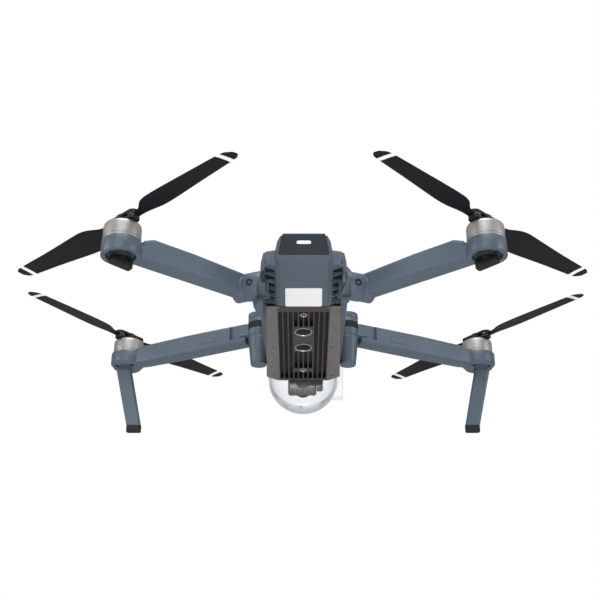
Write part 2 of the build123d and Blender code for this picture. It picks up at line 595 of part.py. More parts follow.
def make_blade(centre, seam, hub_heading, heading, spin):
    """One folding blade parked at its own heading; spin is +1 for an anticlockwise rotor."""
    top = hub_plane(centre, seam, hub_heading)
    near = 1 if cos(radians(heading - hub_heading)) > 0 else -1
    pin = top.from_local_coords(Vector(near * HUB_PIN_X, 0, HUB_PLATE_H + 0.15))
    along = Vector(cos(radians(heading)), sin(radians(heading)), 0)
    lug = Plane(origin=pin, x_dir=along, z_dir=(0, 0, 1))
    with BuildPart() as blade:
        disc(lug, BLADE_LUG_R, BLADE_LUG_H)
        with BuildSketch(lug):
            Polygon((0, -2.8), (8.5, -2.6), (8.5, 2.6), (0, 2.8), align=None)
        extrude(amount=BLADE_LUG_H)
        sections = []
        for s, lead, trail, pitch in BLADE_STATIONS:
            middle = pin + along * s + Vector(0, 0, BLADE_LUG_H / 2)
            across = Plane(origin=middle, x_dir=Vector(0, 0, 1).cross(along) * spin, z_dir=along)
            thick = 1.5 - 0.008 * s
            slope = sin(radians(pitch)) * (1 if across.y_dir.Z > 0 else -1)
            with BuildSketch(across) as sk:
                up = across.y_dir.Z
                Polygon(
                    (lead, up * 0.2 + slope * lead),
                    (lead * 0.4, up * thick * 0.5 + slope * lead * 0.4),
                    (trail * 0.4, up * thick * 0.5 + slope * trail * 0.4),
                    (trail, up * 0.2 + slope * trail),
                    (trail, -up * 0.2 + slope * trail),
                    (trail * 0.4, -up * thick * 0.45 + slope * trail * 0.4),
                    (lead * 0.4, -up * thick * 0.45 + slope * lead * 0.4),
                    (lead, -up * 0.2 + slope * lead),
                    align=None,
                )
            sections.append(sk.sketch)
        loft(sections=sections, ruled=True)
        disc(lug.offset(-1), BLADE_PIN_R + RUNNING, 5, Mode.SUBTRACT)
    return blade.part


# ---- write every piece -----------------------------------------------------------------------
for piece, name in (
    (lower_hull, "lower_hull"), (upper_shell, "upper_shell"), (tail_panel, "tail_panel"),
    (heat_sink, "heat_sink"), (belly_label, "belly_label"), (sonar_sensors, "sonar_sensors"),
    (belly_cameras, "belly_cameras"), (belly_screws, "belly_screws"),
    (forward_cameras, "forward_cameras"), (vent_grilles, "vent_grilles"),
    (main_board, "main_board"), (nose_board, "nose_board"), (fan_frame, "fan_frame"),
    (fan_rotor, "fan_rotor"), (front_hinge_pins, "front_hinge_pins"),
    (rear_hinge_pins, "rear_hinge_pins"), (damper_plate, "damper_plate"), (yaw_motor, "yaw_motor"),
    (yaw_arm, "yaw_arm"), (roll_arm, "roll_arm"), (camera_body, "camera_body"),
    (camera_lens, "camera_lens"), (gimbal_cover, "gimbal_cover"), (battery, "battery"),
    (power_button, "power_button"),
):
    save(piece.part, name)

for piece, name in (
    (battery_latch, "battery_latch_{}"), (front_arm, "front_arm_{}"), (front_light, "front_light_{}"),
    (front_leg, "front_leg_{}"), (front_foot, "front_foot_{}"), (rear_arm, "rear_arm_{}"),
    (rear_foot, "rear_foot_{}"),
):
    save_pair(piece.part, name)

for corner, (inner, outer) in BLADE_HEADINGS.items():
    end, side = corner.split("_")
    motor = FRONT_MOTOR if end == "front" else REAR_MOTOR
    seam = FRONT_SEAM_Z if end == "front" else REAR_SEAM_Z
    sign = 1 if side == "right" else -1
    centre = (sign * motor[0], motor[1])
    hub_heading = HUB_HEADINGS[corner]
    save(make_stator(centre, seam), f"stator_{corner}")
    save(make_bell(centre, seam), f"bell_{corner}")
    save(make_hub(centre, seam, hub_heading), f"hub_{corner}")
    spin = sign if end == "front" else -sign
    save(make_blade(centre, seam, hub_heading, inner, spin), f"blade_{corner}_inner")
    save(make_blade(centre, seam, hub_heading, outer, spin), f"blade_{corner}_outer")
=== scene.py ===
"""Finishes, small parts, lights and camera for the folding camera quadcopter.

Places are in mm in the drone's level flight attitude, with X to its right, Y towards its nose and
Z up. The CAD nodes stand on their feet with the nose up, and to_row takes one frame to the other.
"""

from __future__ import annotations

import json
import logging
import math
from dataclasses import dataclass, field
from enum import Enum
from typing import Any

import bpy
import numpy as np
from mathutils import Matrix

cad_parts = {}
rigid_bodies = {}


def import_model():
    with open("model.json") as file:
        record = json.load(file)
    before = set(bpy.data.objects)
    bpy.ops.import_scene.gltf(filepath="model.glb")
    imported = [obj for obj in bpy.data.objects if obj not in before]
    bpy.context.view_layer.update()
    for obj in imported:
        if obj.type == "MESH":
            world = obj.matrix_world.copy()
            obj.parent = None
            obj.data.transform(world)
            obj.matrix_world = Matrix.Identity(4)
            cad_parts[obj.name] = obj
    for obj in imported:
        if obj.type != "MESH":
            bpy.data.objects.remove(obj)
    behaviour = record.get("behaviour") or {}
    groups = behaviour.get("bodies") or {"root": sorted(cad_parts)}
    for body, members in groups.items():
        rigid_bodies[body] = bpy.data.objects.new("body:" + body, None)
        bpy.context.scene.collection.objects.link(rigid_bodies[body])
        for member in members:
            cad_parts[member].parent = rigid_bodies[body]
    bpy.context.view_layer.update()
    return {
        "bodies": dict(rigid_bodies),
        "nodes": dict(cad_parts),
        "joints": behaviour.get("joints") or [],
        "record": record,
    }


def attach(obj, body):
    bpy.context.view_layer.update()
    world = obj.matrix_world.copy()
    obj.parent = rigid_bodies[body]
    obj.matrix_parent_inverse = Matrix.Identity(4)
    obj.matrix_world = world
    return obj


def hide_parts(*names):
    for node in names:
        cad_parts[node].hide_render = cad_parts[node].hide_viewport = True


LOG = logging.getLogger("quadcopter")

Triple = tuple[float, float, float]
Vector = Triple | np.ndarray
Pairs = tuple[tuple[float, float], ...]
Profile = Pairs
"""Radius and height of each point of a turned piece, in mm."""

MM = 0.001
STANCE = math.atan2(31.0, 225.0)
"""Lean of the standing drone in radians: the front soles reach 31 mm lower, 225 mm further on."""
REAR_SOLE_Y = -110.0
REAR_SOLE_Z = 3.0
MIDDLE_Y = -1.5
"""Where the middle of the standing drone's box lies along Y."""
UP = np.array([0.0, -math.sin(STANCE), math.cos(STANCE)])
"""Direction of the rotor shafts in the standing frame."""
SINK_TILT = math.radians(3.03)
"""Angle by which the heat sink's outer face falls towards the nose."""
SINK_START = (0.0, -38.0, 7.6)
"""Rear end of the heat sink's outer face."""


class Side(Enum):
    """The two sides of the drone."""

    RIGHT = "right"
    LEFT = "left"

    @property
    def sign(self) -> int:
        """+1 on the right, where X is positive, and -1 on the left."""
        return 1 if self is Side.RIGHT else -1


def to_row(points: np.ndarray) -> np.ndarray:
    """Turns points of the flight attitude, in mm, into the standing frame, in metres.

    Formula: turn about the X axis through the rear soles by the stance angle, then move to the
    middle of the box.

    Args:
        points: An array whose last axis holds x, y and z in mm.

    Returns:
        The same array in metres, in the frame of the CAD nodes.
    """
    p = np.asarray(points, float) - (0.0, REAR_SOLE_Y, REAR_SOLE_Z)
    c, s = math.cos(STANCE), math.sin(STANCE)
    y = REAR_SOLE_Y + p[..., 1] * c - p[..., 2] * s - MIDDLE_Y
    z = p[..., 1] * s + p[..., 2] * c
    return np.stack([p[..., 0], y, z], axis=-1) * MM


# ---- materials -------------------------------------------------------------------------------
def linear(hex_colour: str) -> tuple[float, float, float, float]:
    """Turns an sRGB colour into a linear one.

    Args:
        hex_colour: The colour, as #rrggbb.

    Returns:
        Red, green, blue and an alpha of 1.
    """
    values = [int(hex_colour[i : i + 2], 16) / 255 for i in (1, 3, 5)]
    red, green, blue = (v / 12.92 if v <= 0.04045 else ((v + 0.055) / 1.055) ** 2.4 for v in values)
    return (red, green, blue, 1.0)


class NodeTree:
    """A shader node tree that is being filled."""

    def __init__(self, tree: bpy.types.NodeTree) -> None:
        self.tree = tree

    def add(self, kind: str, inputs: dict | None = None, **settings: Any) -> bpy.types.Node:
        """Adds a node.

        Args:
            kind: Type of the node.
            inputs: Value or socket for each input, by its name or number.
            **settings: Properties of the node, which are set before its inputs.

        Returns:
            The node.
        """
        node = self.tree.nodes.new(kind)
        for key, value in settings.items():
            setattr(node, key, value)
        for key, value in (inputs or {}).items():
            self.feed(node.inputs[key], value)
        return node

    def feed(self, socket: bpy.types.NodeSocket, value: Any) -> None:
        """Links an input to a socket, or sets its value."""
        if isinstance(value, bpy.types.NodeSocket):
            self.tree.links.new(value, socket)
        else:
            socket.default_value = value


class Shade(NodeTree):
    """A node material that is being built, with its Principled shader at hand."""

    def __init__(self, name: str) -> None:
        self.material = bpy.data.materials.new(name)
        self.material.use_nodes = True
        super().__init__(self.material.node_tree)
        self.bsdf = self.tree.nodes["Principled BSDF"]

    def surface(self, **inputs: Any) -> None:
        """Sets or links inputs of the shader, whose names have _ for a space."""
        for key, value in inputs.items():
            self.feed(self.bsdf.inputs[key.replace("_", " ")], value)

    def millimetres(self) -> bpy.types.NodeSocket:
        """Object coordinates in millimetres."""
        place = self.add("ShaderNodeTexCoord")
        return self.add(
            "ShaderNodeVectorMath",
            {0: place.outputs["Object"], 1: (1 / MM, 1 / MM, 1 / MM)},
            operation="MULTIPLY",
        ).outputs[0]

    def noise(
        self, scale: float, detail: float = 3.0, where: bpy.types.NodeSocket | None = None
    ) -> bpy.types.NodeSocket:
        """Adds a noise pattern.

        Args:
            scale: Features per millimetre.
            detail: Octaves of finer noise.
            where: Coordinates in millimetres, if they have been made already.

        Returns:
            A factor from 0 to 1.
        """
        return self.add(
            "ShaderNodeTexNoise",
            {"Vector": where or self.millimetres(), "Scale": scale, "Detail": detail},
        ).outputs["Fac"]

    def between(
        self, factor: bpy.types.NodeSocket, low: float, high: float
    ) -> bpy.types.NodeSocket:
        """Maps a 0 to 1 factor on to a range."""
        return self.add(
            "ShaderNodeMapRange", {"Value": factor, "To Min": low, "To Max": high}
        ).outputs[0]

    def mix(self, factor: Any, first: Any, second: Any) -> bpy.types.NodeSocket:
        """Mixes two colours, which may be sockets."""
        return self.add(
            "ShaderNodeMixRGB", {"Fac": factor, "Color1": first, "Color2": second}
        ).outputs[0]

    def bump(self, height: bpy.types.NodeSocket, depth: float, strength: float) -> None:
        """Adds a bump whose depth is in millimetres."""
        node = self.add(
            "ShaderNodeBump", {"Height": height, "Distance": depth * MM, "Strength": strength}
        )
        self.surface(Normal=node.outputs[0])


@dataclass(frozen=True)
class MouldedPlastic:
    """Injection-moulded, painted polycarbonate with a fine spark-eroded grain.

    The grain breaks its sheen up into a soft, even one.
    """

    name: str
    colour: str
    dark: str
    roughness: float = 0.42
    grain: float = 3.2

    def build(self) -> bpy.types.Material:
        """Builds the material."""
        shade = Shade(self.name)
        fine = shade.noise(self.grain, 2.0)
        shade.surface(
            Base_Color=shade.mix(shade.noise(0.035, 2.0), linear(self.dark), linear(self.colour)),
            Roughness=shade.between(fine, self.roughness - 0.06, self.roughness + 0.08),
            Specular_IOR_Level=0.38,
        )
        shade.bump(fine, 0.02, 0.35)
        return shade.material


@dataclass(frozen=True)
class SatinAlloy:
    """Metal with a satin skin: turned, with faint lathe lines, or else blasted or drawn.

    The lines draw the highlight out round the piece.
    """

    name: str
    colour: str
    roughness: float = 0.3
    turned: bool = True
    worn: str = "#b9bdc0"
    line_waves: float = 26.0

    def build(self) -> bpy.types.Material:
        """Builds the material; the lathe lines are a sine of the height along the rotor shafts."""
        shade = Shade(self.name)
        where = shade.millimetres()
        fine = shade.noise(4.0, 3.0, where)
        patches = shade.between(shade.noise(0.2, 2.0, where), 0.0, 0.3)
        shade.surface(
            Base_Color=shade.mix(patches, linear(self.colour), linear(self.worn)),
            Metallic=0.85,
            Roughness=shade.between(fine, self.roughness - 0.05, self.roughness + 0.1),
        )
        if self.turned:
            height = shade.add(
                "ShaderNodeVectorMath", {0: where, 1: tuple(UP)}, operation="DOT_PRODUCT"
            ).outputs["Value"]
            angle = shade.add(
                "ShaderNodeMath", {0: height, 1: self.line_waves}, operation="MULTIPLY"
            ).outputs[0]
            wave = shade.add("ShaderNodeMath", {0: angle}, operation="SINE").outputs[0]
            shade.bump(wave, 0.01, 0.3)
        else:
            shade.bump(fine, 0.03, 0.5)
        return shade.material


@dataclass(frozen=True)
class MaskedSink:
    """Die-cast heat sink, bead-blasted outside, with near black painted shade in the slots between
    its fins.

    Painted shade makes the slots read as near black lines between dull bronze-grey fins.

    Attributes:
        origin: A point of the outer face in metres, in the standing frame.
        inward: Direction square to the outer face, into the casting.
        fin_edge: Distances from the middle, in mm, over which the rim gives way to the fins.
        slot_shade_depth: Depths in mm over which the outer finish gives way to the painted slot
            shade.
    """

    name: str
    rim: str
    worn: str
    fin: str
    # near black colour of the painted shade in the slots
    slot: str
    origin: Triple
    inward: Triple
    fin_edge: tuple[float, float] = (17.9, 17.3)
    slot_shade_depth: tuple[float, float] = (0.08, 0.6)

    def build(self) -> bpy.types.Material:
        """Builds the material; depth below the outer face picks the outer finish or the painted
        slot shade.
        """
        shade = Shade(self.name)
        where = shade.millimetres()
        offset = shade.add(
            "ShaderNodeVectorMath",
            {0: where, 1: tuple(-v / MM for v in self.origin)},
            operation="ADD",
        ).outputs[0]
        depth = shade.add(
            "ShaderNodeVectorMath", {0: offset, 1: self.inward}, operation="DOT_PRODUCT"
        ).outputs["Value"]
        # points deep below the outer face take the painted shade of the slots
        slot_shade = self.step(shade, depth, self.slot_shade_depth)
        patches = shade.between(shade.noise(0.12, 3.0, where), 0.0, 0.5)
        rim = shade.mix(patches, linear(self.rim), linear(self.worn))
        side = shade.add("ShaderNodeSeparateXYZ", {0: where}).outputs["X"]
        away = shade.add("ShaderNodeMath", {0: side}, operation="ABSOLUTE").outputs[0]
        outside = shade.mix(self.step(shade, away, self.fin_edge), rim, linear(self.fin))
        fine = shade.noise(5.0, 3.0, where)
        shade.surface(
            Base_Color=shade.mix(slot_shade, outside, linear(self.slot)),
            Metallic=0.55,
            Roughness=shade.between(fine, 0.42, 0.6),
        )
        shade.bump(fine, 0.03, 0.5)
        return shade.material

    @staticmethod
    def step(
        shade: Shade, value: bpy.types.NodeSocket, span: tuple[float, float]
    ) -> bpy.types.NodeSocket:
        """A factor that goes from 0 to 1 while a value goes over a span."""
        return shade.add(
            "ShaderNodeMapRange", {"Value": value, "From Min": span[0], "From Max": span[1]}
        ).outputs[0]


@dataclass(frozen=True)
class BladeNylon:
    """Glass-filled nylon propeller blade, moulded black, with a pale band printed by the tip.

    The glass makes the skin dull, so its highlights are wide and weak.
    """

    name: str
    colour: str = "#070709"
    band_colour: str = "#e8e9e8"
    band: tuple[float, float] = (0.9, 0.937)

    def build(self) -> bpy.types.Material:
        """Builds the material; the span runs along the first axis of the UV map."""
        shade = Shade(self.name)
        uv = shade.add("ShaderNodeUVMap", uv_map="span")
        span = shade.add("ShaderNodeSeparateXYZ", {0: uv.outputs[0]}).outputs[0]
        ramp = shade.add("ShaderNodeValToRGB", {"Fac": span})
        ramp.color_ramp.interpolation = "CONSTANT"
        root, start = ramp.color_ramp.elements
        root.color = linear(self.colour)
        start.position, start.color = self.band[0], linear(self.band_colour)
        ramp.color_ramp.elements.new(self.band[1]).color = linear(self.colour)
        fine = shade.noise(2.4)
        shade.surface(
            Base_Color=ramp.outputs[0],
            Roughness=shade.between(fine, 0.42, 0.55),
            Specular_IOR_Level=0.14,
        )
        shade.bump(fine, 0.02, 0.3)
        return shade.material


@dataclass(frozen=True)
class ClearCover:
    """Injection-moulded clear polycarbonate with a polished surface.

    A thin shell bends light little, so it is see-through, and denser where it is seen edge on.
    """

    name: str
    clear: str = "#c9d4dc"
    edge: str = "#3b4852"
    edge_power: float = 2.6
    opacity: tuple[float, float] = (0.10, 0.85)

    def build(self) -> bpy.types.Material:
        """Builds the material."""
        shade = Shade(self.name)
        facing = shade.add("ShaderNodeLayerWeight", {"Blend": 0.5}).outputs["Facing"]
        rim = shade.add(
            "ShaderNodeMath", {0: facing, 1: self.edge_power}, operation="POWER"
        ).outputs[0]
        shade.surface(
            Base_Color=shade.mix(rim, linear(self.clear), linear(self.edge)),
            Roughness=shade.between(shade.noise(0.05, 2.0), 0.03, 0.07),
            Alpha=shade.between(rim, *self.opacity),
            IOR=1.5,
            Coat_Weight=0.6,
        )
        return shade.material


@dataclass(frozen=True)
class Gloss:
    """Moulded or polished dielectric, such as a lens, a hub, a board or a rubber pad.

    Its roughness tells the clean highlight of glass from the dull one of rubber.
    """

    name: str
    colour: str
    roughness: float
    coat: float = 0.0
    specular: float = 0.5

    def build(self) -> bpy.types.Material:
        """Builds the material."""
        shade = Shade(self.name)
        fine = shade.noise(2.0)
        base = linear(self.colour)
        lighter = tuple(min(1.0, v * 1.25 + 0.004) for v in base[:3]) + (1.0,)
        shade.surface(
            Base_Color=shade.mix(fine, base, lighter),
            Roughness=shade.between(fine, max(0.02, self.roughness - 0.04), self.roughness + 0.06),
            Coat_Weight=self.coat,
            Specular_IOR_Level=self.specular,
        )
        shade.bump(fine, 0.02, 0.25)
        return shade.material


FINISHES = {
    "shell_plastic": MouldedPlastic("moulded_shell", "#46525d", "#3c4853"),
    # The tail panel is moulded in the shell's plastic; its far darker colour is painted shade.
    "tail_plastic": MouldedPlastic("moulded_tail_painted_shade", "#151e26", "#121a21"),
    "black_plastic": Gloss("moulded_black", "#101113", 0.4, specular=0.3),
    "blade_plastic": BladeNylon("blade_nylon"),
    "sink_alloy": MaskedSink(
        "cast_sink",
        rim="#5f5957",
        worn="#8b8580",
        fin="#3f3a38",
        # painted shade in the slots between the fins
        slot="#040405",
        origin=tuple(to_row(np.array(SINK_START))),
        inward=(0.0, math.sin(SINK_TILT - STANCE), math.cos(SINK_TILT - STANCE)),
    ),
    "motor_alloy": SatinAlloy("turned_alloy", "#918d8c", 0.44),
    "label_film": MouldedPlastic("label_film", "#dddbda", "#d2d0cf", 0.5, 1.2),
    "rubber": Gloss("soft_rubber", "#121315", 0.62, specular=0.2),
    "lens_glass": Gloss("polished_lens", "#0b0d12", 0.06, coat=1.0),
    "clear_cover": ClearCover("clear_cover"),
    "light_lens": Gloss("frosted_lens", "#c9cdcf", 0.35),
    "steel": SatinAlloy("zinc_steel", "#8d8f92", 0.26, turned=False),
    "board": Gloss("solder_mask", "#12382a", 0.4),
    "winding": SatinAlloy("enamelled_wire", "#a8642f", 0.35, turned=False),
    "gimbal_alloy": SatinAlloy("blasted_gimbal", "#5b5552", 0.42, turned=False),
}


class Materials:
    """All the finishes, built once and handed out by slot name."""

    def __init__(self) -> None:
        self.made = {slot: finish.build() for slot, finish in FINISHES.items()}

    def dress(self, obj: bpy.types.Object, slot: str) -> None:
        """Gives an object one finish on every face."""
        obj.data.materials.clear()
        obj.data.materials.append(self.made[slot])


# ---- meshes ----------------------------------------------------------------------------------
def surface_mesh(name: str, grid: np.ndarray, closed: bool = True) -> bpy.types.Object:
    """Makes a mesh object from a grid of points.

    Args:
        name: Name of the object.
        grid: Points in metres, shaped (rows, columns, 3).
        closed: Whether the last column joins the first, and polygons close the end rows.

    Returns:
        The object, linked to the scene.
    """
    rows, columns = grid.shape[:2]
    index = np.arange(rows * columns).reshape(rows, columns)
    across = np.roll(index, -1, axis=1) if closed else index[:, 1:]
    base = index if closed else index[:, :-1]
    quads = np.stack([base[:-1], across[:-1], across[1:], base[1:]], axis=-1)
    faces = quads.reshape(-1, 4).tolist()
    if closed:
        faces.append(index[0][::-1].tolist())
        faces.append(index[-1].tolist())
    mesh = bpy.data.meshes.new(name)
    mesh.from_pydata(grid.reshape(-1, 3).tolist(), [], faces)
    mesh.validate()
    obj = bpy.data.objects.new(name, mesh)
    bpy.context.scene.collection.objects.link(obj)
    return obj


def mesh_points(mesh: bpy.types.Mesh) -> np.ndarray:
    """The vertices of a mesh in metres, one row for each."""
    points = np.empty(len(mesh.vertices) * 3)
    mesh.vertices.foreach_get("co", points)
    return points.reshape(-1, 3)


def turned(
    profile: Profile, foot: np.ndarray, axis: np.ndarray, side: np.ndarray, segments: int
) -> np.ndarray:
    """Turns a profile about an axis.

    Formula: each profile point (r, h) becomes foot + h * axis + r * (cos t * side + sin t * v),
    where v is square to the axis and to side, and t runs once round.

    Args:
        profile: Radius and height of each point, from the bottom to the top.
        foot: Where heights start on the axis.
        axis: Unit vector along the axis.
        side: Unit vector square to the axis.
        segments: Number of points round the axis.

    Returns:
        Points in the units of the profile and the foot, one row for each profile point.
    """
    t = np.linspace(0, 2 * math.pi, segments, endpoint=False)
    ring = np.cos(t)[:, None] * side + np.sin(t)[:, None] * np.cross(axis, side)
    r, h = np.asarray(profile, float).T[:, :, None, None]
    return foot + h * axis + r * ring


def lathe(
    name: str, profile: Profile, centre: Vector, axis: Vector, segments: int = 48
) -> bpy.types.Object:
    """Makes a solid of revolution.

    Args:
        name: Name of the object.
        profile: Radius and height of each point, in mm, from the bottom to the top.
        centre: Foot of the axis in the flight attitude, in mm.
        axis: Direction of the axis in the flight attitude.
        segments: Number of points round the axis.

    Returns:
        A closed object.
    """
    n = np.asarray(axis, float) / np.linalg.norm(axis)
    side = np.cross(n, [1.0, 0.0, 0.0] if abs(n[0]) < 0.8 else [0.0, 1.0, 0.0])
    side /= np.linalg.norm(side)
    return surface_mesh(name, to_row(turned(profile, np.asarray(centre), n, side, segments)))


def plaque(
    name: str, centre: Vector, along: Vector, normal: Vector, size: Triple, radius: float
) -> bpy.types.Object:
    """Makes a flat plate with rounded corners and a small bevel.

    Formula: a rounded rectangle, given by its corner arcs, is stacked in four rows; the first and
    the last rows are drawn in by the bevel.

    Args:
        name: Name of the object.
        centre: Middle of the back face in the flight attitude, in mm.
        along: Direction of the length.
        normal: Direction that the front face looks in.
        size: Length, width and thickness in mm.
        radius: Corner radius in mm.

    Returns:
        A closed object.
    """
    length, width, thickness = size
    n = np.asarray(normal, float) / np.linalg.norm(normal)
    a = np.asarray(along, float)
    a = a - a.dot(n) * n
    a /= np.linalg.norm(a)
    b = np.cross(n, a)
    bevel = min(0.3, thickness * 0.35)
    arc = np.linspace(0, math.pi / 2, 7)
    angle = (arc[None, :] + np.arange(4)[:, None] * math.pi / 2).ravel()
    corner_x = np.repeat([1, -1, -1, 1], arc.size) * (length / 2 - radius)
    corner_y = np.repeat([1, 1, -1, -1], arc.size) * (width / 2 - radius)
    inset = np.array([bevel, 0.0, 0.0, bevel])
    height = np.array([0.0, bevel, thickness - bevel, thickness])
    r = np.maximum(radius - inset, 0.02)[:, None]
    x = corner_x[None, :] + r * np.cos(angle)
    y = corner_y[None, :] + r * np.sin(angle)
    points = np.asarray(centre, float) + x[..., None] * a + y[..., None] * b
    return surface_mesh(name, to_row(points + height[:, None, None] * n))


# ---- pieces ----------------------------------------------------------------------------------
@dataclass(frozen=True)
class CadNodes:
    """The CAD nodes as they were imported, and the edges that their finish gets."""

    frame: dict[str, Any]
    materials: Materials
    weld: float = 0.01
    edge: float = 0.7
    edge_angle: float = 24.0
    painted: tuple[str, ...] = ("shell_plastic", "tail_plastic")

    def finish(self) -> None:
        """Gives every node its finish, and painted ones soft edges."""
        for entry in self.frame["record"]["subparts"]:
            obj, slot = self.frame["nodes"][entry["node"]], entry["material_slot"]
            self.materials.dress(obj, slot)
            weld = obj.modifiers.new("weld", "WELD")
            weld.merge_threshold = self.weld * MM
            if slot in self.painted:
                bevel = obj.modifiers.new("edge", "BEVEL")
                bevel.width = self.edge * MM
                bevel.segments = 2
                bevel.limit_method = "ANGLE"
                bevel.angle_limit = math.radians(self.edge_angle)
                bevel.harden_normals = True


@dataclass
class Builder:
    """Shared tools of the sub-assemblies."""

    frame: dict[str, Any]
    materials: Materials
    made: list[bpy.types.Object] = field(default_factory=list)

    def keep(self, obj: bpy.types.Object, body: str, slot: str, angle: float = 35.0) -> None:
        """Shades, dresses and fixes a new piece.

        Args:
            obj: The piece.
            body: Body that it rides on.
            slot: Finish that it gets.
            angle: Sharpest fold in degrees that is still shaded smooth.
        """
        obj.data.shade_smooth()
        obj.data.set_sharp_from_angle(angle=math.radians(angle))
        self.materials.dress(obj, slot)
        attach(obj, body)
        self.made.append(obj)
        LOG.info("%s rides on %s in %s", obj.name, body, slot)


@dataclass(frozen=True)
class BladeShape:
    """Plan and section of a propeller blade.

    Attributes:
        sections: Distance from the pin, leading edge, trailing edge, pitch in degrees and
            thickness. The other values are in mm.
        camber: Rise of the middle of a section, as a share of half its chord.
        fullness: How much thicker a section is towards its leading edge.
    """

    sections: tuple[tuple[float, float, float, float, float], ...] = (
        (3.0, 2.7, -2.7, 0.0, 2.2),
        (7.0, 2.9, -2.9, 4.0, 2.1),
        (11.0, 3.6, -4.2, 9.0, 2.0),
        (15.0, 5.2, -6.8, 13.0, 1.9),
        (20.0, 6.8, -10.2, 14.0, 1.8),
        (26.0, 7.4, -11.8, 14.0, 1.7),
        (34.0, 7.0, -11.6, 12.6, 1.5),
        (46.0, 6.2, -10.6, 11.0, 1.3),
        (62.0, 5.2, -9.2, 9.2, 1.1),
        (78.0, 4.5, -8.0, 7.8, 0.9),
        (88.0, 4.1, -7.2, 7.0, 0.8),
        (93.0, 3.6, -6.2, 6.5, 0.7),
        (95.4, 1.4, -2.6, 6.0, 0.5),
    )
    camber: float = 0.08
    fullness: float = 0.35

    def grid(
        self, pin: np.ndarray, along: np.ndarray, across: np.ndarray, length: float
    ) -> np.ndarray:
        """Works out the blade's skin.

        Formula: at each station the section is an ellipse of the local chord and thickness,
        raised in the middle by 4 % of the chord and turned by the local pitch, so a point at
        chord position c stands c * sin(pitch) above the blade's plane.

        Args:
            pin: Middle of the blade's pin in metres, in the standing frame.
            along: Unit vector from the pin to the tip.
            across: Unit vector towards the leading edge.
            length: Distance from the pin to the tip in mm.

        Returns:
            Points in metres, with a row for each station along the span.
        """
        station, *columns = np.array(self.sections).T
        s = np.concatenate([
            np.linspace(station[0], 30.0, 22),
            np.linspace(32.0, length - 8.0, 26),
            np.linspace(length - 7.0, length, 10),
        ])
        rows = [np.interp(s, station * length / station[-1], column) for column in columns]
        kernel = np.array([1.0, 2.0, 3.0, 2.0, 1.0]) / 9.0
        soft = [np.convolve(np.pad(row, 2, mode="edge"), kernel, mode="valid") for row in rows]
        lead, trail, pitch, thick = (row[:, None] for row in soft)
        t = np.linspace(0, 2 * math.pi, 30, endpoint=False)[None, :]
        half = (lead - trail) / 2
        c = (lead + trail) / 2 + half * np.cos(t)
        h = thick / 2 * np.sin(t) * (1.0 + self.fullness * np.cos(t))
        h = h + self.camber * half * np.sin(t) ** 2 + c * np.sin(np.radians(pitch))
        reach = s[:, None, None] * along + c[..., None] * across + h[..., None] * UP
        return pin + reach * MM


@dataclass
class Propellers(Builder):
    """The eight folding blades, in place of their plain CAD nodes.

    Attributes:
        tip_width: Distance in mm from the far end of the CAD node within which its points count
            as the tip.
        tip_lead: Distance in mm from there to the tip's middle, towards the leading edge.
        lug: Profile of the round root that the pin goes through.
    """

    shape: BladeShape = BladeShape()
    tip_width: float = 0.2
    tip_lead: float = 1.5
    lug: Profile = ((3.6, -1.12), (3.85, -0.9), (3.85, 0.9), (3.6, 1.12))

    def build(self) -> None:
        """Builds every blade from its hinge and its CAD node."""
        for joint in self.frame["joints"]:
            if joint["name"].startswith("blade_fold_"):
                self.blade(joint)

    def blade(self, joint: dict[str, Any]) -> None:
        """Builds one blade, whose heading comes from the far end of its CAD node.

        Args:
            joint: The blade's hinge, as the frame gives it.
        """
        node = joint["child"].replace("blade_body_", "blade_")
        spin = 1 if ("right" in node) == ("front" in node) else -1
        pin = np.array(joint["pos_m"])
        rel = mesh_points(self.frame["nodes"][node].data) - pin
        flat = rel - (rel @ UP)[:, None] * UP
        reach = np.linalg.norm(flat, axis=1)
        end = flat[reach > reach.max() - self.tip_width * MM].mean(axis=0)
        heading = end / np.linalg.norm(end)
        along = end + np.cross(UP, heading) * spin * self.tip_lead * MM
        length = float(np.linalg.norm(along)) / MM
        along = along / np.linalg.norm(along)
        grid = self.shape.grid(pin, along, np.cross(UP, along) * spin, length)
        if spin < 0:
            grid = grid[:, ::-1]
        name = node.replace("blade_", "propeller_blade_")
        obj = surface_mesh(name, grid)
        self.unwrap(obj.data, grid.shape[1])
        root = turned(np.array(self.lug) * MM, pin, UP, np.array([1.0, 0.0, 0.0]), 36)
        other = surface_mesh(name + "_lug", root)
        other.data.uv_layers.new(name="span")
        self.join(obj, other)
        self.keep(obj, joint["child"], "blade_plastic", 50.0)
        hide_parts(node)

    @staticmethod
    def unwrap(mesh: bpy.types.Mesh, columns: int) -> None:
        """Adds a UV map whose first axis runs from the pin to the tip.

        Args:
            mesh: The blade's skin.
            columns: Number of points round each of its sections.
        """
        index = np.empty(len(mesh.loops), dtype=np.int64)
        mesh.loops.foreach_get("vertex_index", index)
        rows = mesh_points(mesh).reshape(-1, columns, 3).mean(axis=1)
        span = np.linalg.norm(rows - rows[0], axis=1)
        u = (span / span[-1])[index // columns]
        v = (index % columns) / columns
        layer = mesh.uv_layers.new(name="span")
        layer.data.foreach_set("uv", np.stack([u, v], axis=-1).ravel())

    @staticmethod
    def join(obj: bpy.types.Object, other: bpy.types.Object) -> None:
        """Joins a second mesh into the first object."""
        both = [obj, other]
        with bpy.context.temp_override(
            active_object=obj, selected_editable_objects=both, selected_objects=both
        ):
            bpy.ops.object.join()


